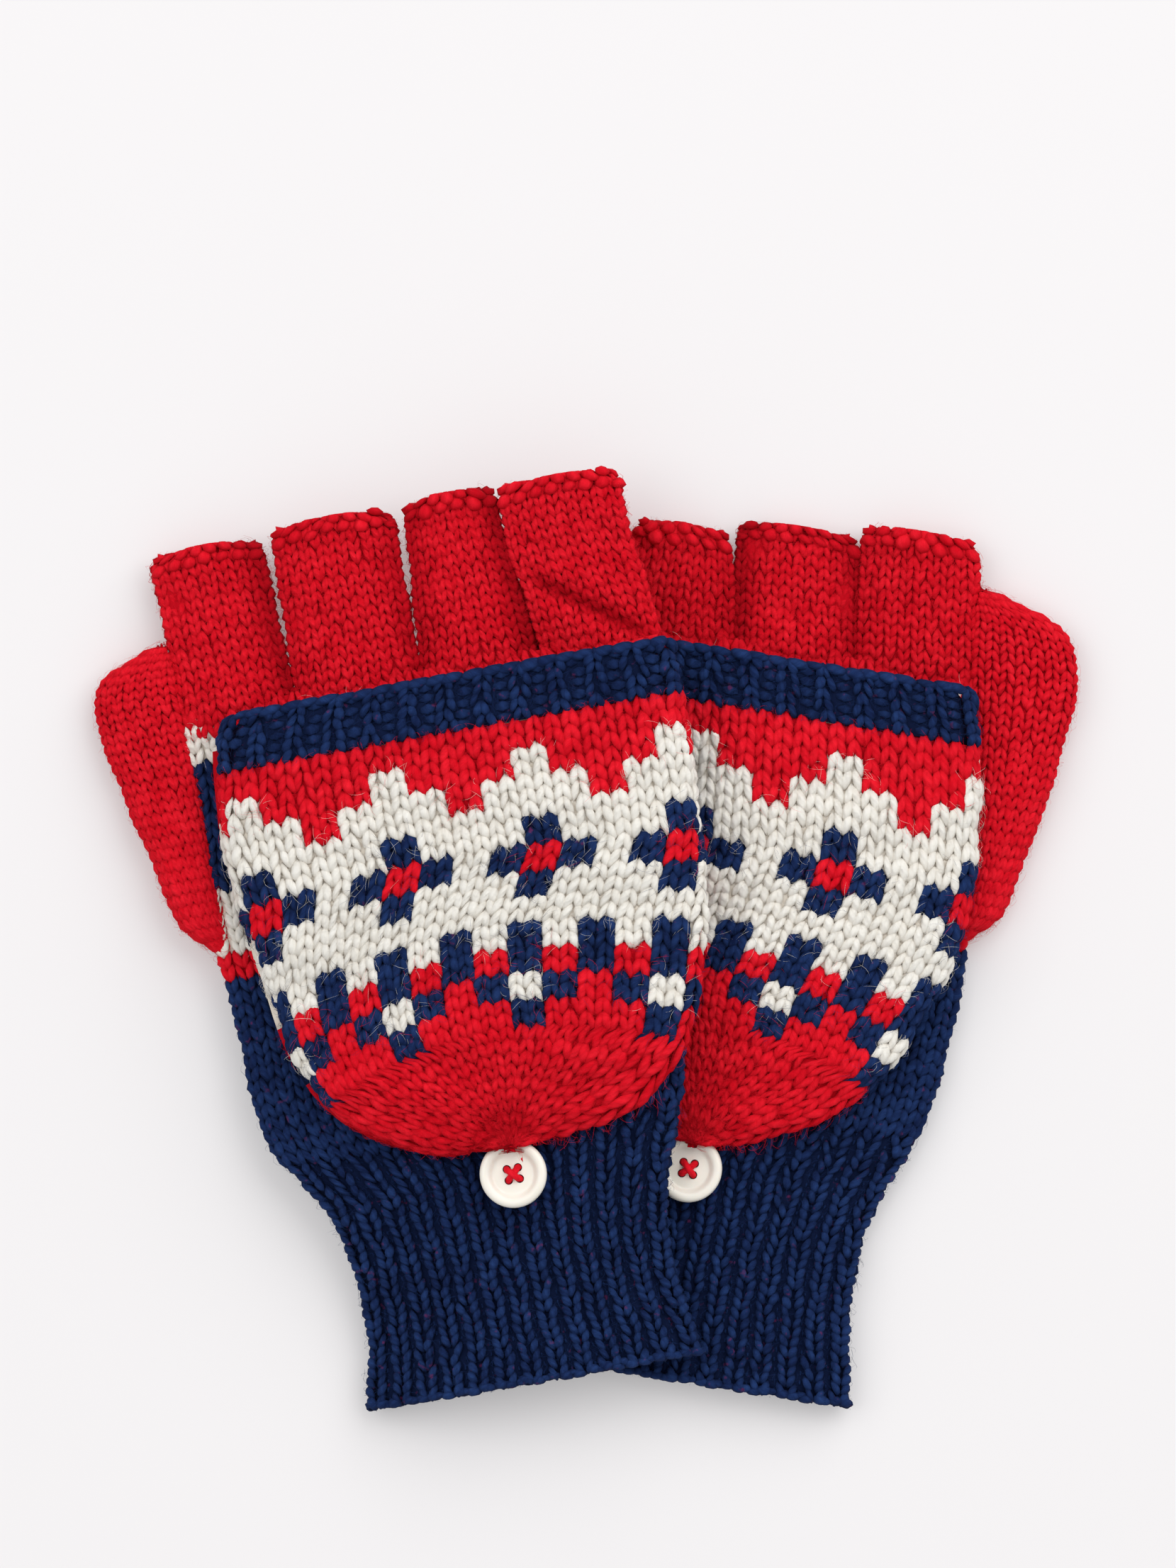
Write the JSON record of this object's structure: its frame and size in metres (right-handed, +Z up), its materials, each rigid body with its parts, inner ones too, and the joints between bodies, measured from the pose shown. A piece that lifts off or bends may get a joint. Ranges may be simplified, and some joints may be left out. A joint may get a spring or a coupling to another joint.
{
  "type": "knitted gloves",
  "caption": "Pair of knitted convertible mittens: open finger tubes, closed thumb, and a mitten flap folded back over the hand and held by a button; one glove lies on the other.",
  "frame": {"origin": "middle of the pair's box, on the surface it lies on", "axes": "+Z up from the table, +Y towards the fingers, +X towards the left-hand glove"},
  "size_m": [0.189, 0.178, 0.0305],
  "materials": {
    "red_knit": "soft wool stocking stitch",
    "navy_knit": "soft wool rib",
    "patterned_knit": "soft wool stranded knitting in cream, red and navy",
    "button": "satin cream plastic"
  },
  "bodies": {
    "left_hand": {"left_hand": "patterned_knit", "left_cuff": "navy_knit", "left_flap_seam": "red_knit", "left_button": "button", "left_button_thread": "red_knit"},
    "left_flap": {"left_flap_back_panel": "patterned_knit", "left_flap_front_panel": "patterned_knit", "left_flap_rib_band": "navy_knit", "left_button_loop": "red_knit"},
    "left_index": {"left_index_finger": "red_knit"},
    "left_middle": {"left_middle_finger": "red_knit"},
    "left_ring": {"left_ring_finger": "red_knit"},
    "left_little": {"left_little_finger": "red_knit"},
    "left_thumb": {"left_thumb": "red_knit"},
    "right_hand": {"right_hand": "patterned_knit", "right_cuff": "navy_knit", "right_flap_seam": "red_knit", "right_button": "button", "right_button_thread": "red_knit"},
    "right_flap": {"right_flap_back_panel": "patterned_knit", "right_flap_front_panel": "patterned_knit", "right_flap_rib_band": "navy_knit", "right_button_loop": "red_knit"},
    "right_index": {"right_index_finger": "red_knit"},
    "right_middle": {"right_middle_finger": "red_knit"},
    "right_ring": {"right_ring_finger": "red_knit"},
    "right_little": {"right_little_finger": "red_knit"},
    "right_thumb": {"right_thumb": "red_knit"}
  },
  "joints": [
    {"name": "right_glove_lift", "type": "slide", "parent": "left_hand", "child": "right_hand", "axis": [0, 0, 1], "range_m": [0, 0.06]},
    {"name": "left_flap_fold", "type": "hinge", "parent": "left_hand", "child": "left_flap", "pos_m": [0.04291, 0.04898, 0.0086], "axis": [-0.9737, 0.2248, -0.0362], "range_deg": [0, 180], "deforming": ["left_flap_front_panel", "left_flap_rib_band", "left_button_loop", "left_flap_back_panel"]},
    {"name": "right_flap_fold", "type": "hinge", "parent": "right_hand", "child": "right_flap", "pos_m": [-0.03386, 0.0445, 0.01613], "axis": [-0.962, -0.2419, -0.1266], "range_deg": [0, 180], "deforming": ["right_flap_front_panel", "right_flap_rib_band", "right_button_loop"]},
    {"name": "left_index_turn_up", "type": "hinge", "parent": "left_hand", "child": "left_index", "pos_m": [0.06419, 0.05105, 0.0075], "axis": [-0.9877, 0.1564, 0], "range_deg": [-70, 0]},
    {"name": "left_middle_turn_up", "type": "hinge", "parent": "left_hand", "child": "left_middle", "pos_m": [0.04098, 0.05473, 0.0075], "axis": [-0.9877, 0.1564, -0.0058], "range_deg": [-70, 0]},
    {"name": "left_ring_turn_up", "type": "hinge", "parent": "left_hand", "child": "left_ring", "pos_m": [0.01915, 0.05819, 0.00658], "axis": [-0.9854, 0.1561, -0.0686], "range_deg": [-35, 0]},
    {"name": "left_little_turn_up", "type": "hinge", "parent": "left_hand", "child": "left_little", "pos_m": [-0.00011, 0.06124, 0.00539], "axis": [-0.9858, 0.1561, -0.061], "range_deg": [-11, 0]},
    {"name": "right_index_turn_up", "type": "hinge", "parent": "right_hand", "child": "right_index", "pos_m": [-0.06442, 0.0445, 0.011], "axis": [-0.9764, -0.1736, -0.1285], "range_deg": [-70, 0]},
    {"name": "right_middle_turn_up", "type": "hinge", "parent": "right_hand", "child": "right_middle", "pos_m": [-0.04158, 0.04856, 0.01401], "axis": [-0.9764, -0.1736, -0.1285], "range_deg": [-70, 0]},
    {"name": "right_ring_turn_up", "type": "hinge", "parent": "right_hand", "child": "right_ring", "pos_m": [-0.02, 0.0524, 0.01685], "axis": [-0.9764, -0.1736, -0.1285], "range_deg": [-70, 0]},
    {"name": "right_little_turn_up", "type": "hinge", "parent": "right_hand", "child": "right_little", "pos_m": [0.00119, 0.05617, 0.01964], "axis": [-0.9764, -0.1736, -0.1285], "range_deg": [-70, 0]},
    {"name": "left_thumb_spread", "type": "hinge", "parent": "left_hand", "child": "left_thumb", "pos_m": [0.07509, 0.00157, 0.00375], "axis": [0, 0, -1], "range_deg": [0, 25]},
    {"name": "right_thumb_spread", "type": "hinge", "parent": "right_hand", "child": "right_thumb", "pos_m": [-0.06968, -0.00036, 0.00652], "axis": [-0.1305, 0, 0.9914], "range_deg": [0, 25]}
  ]
}
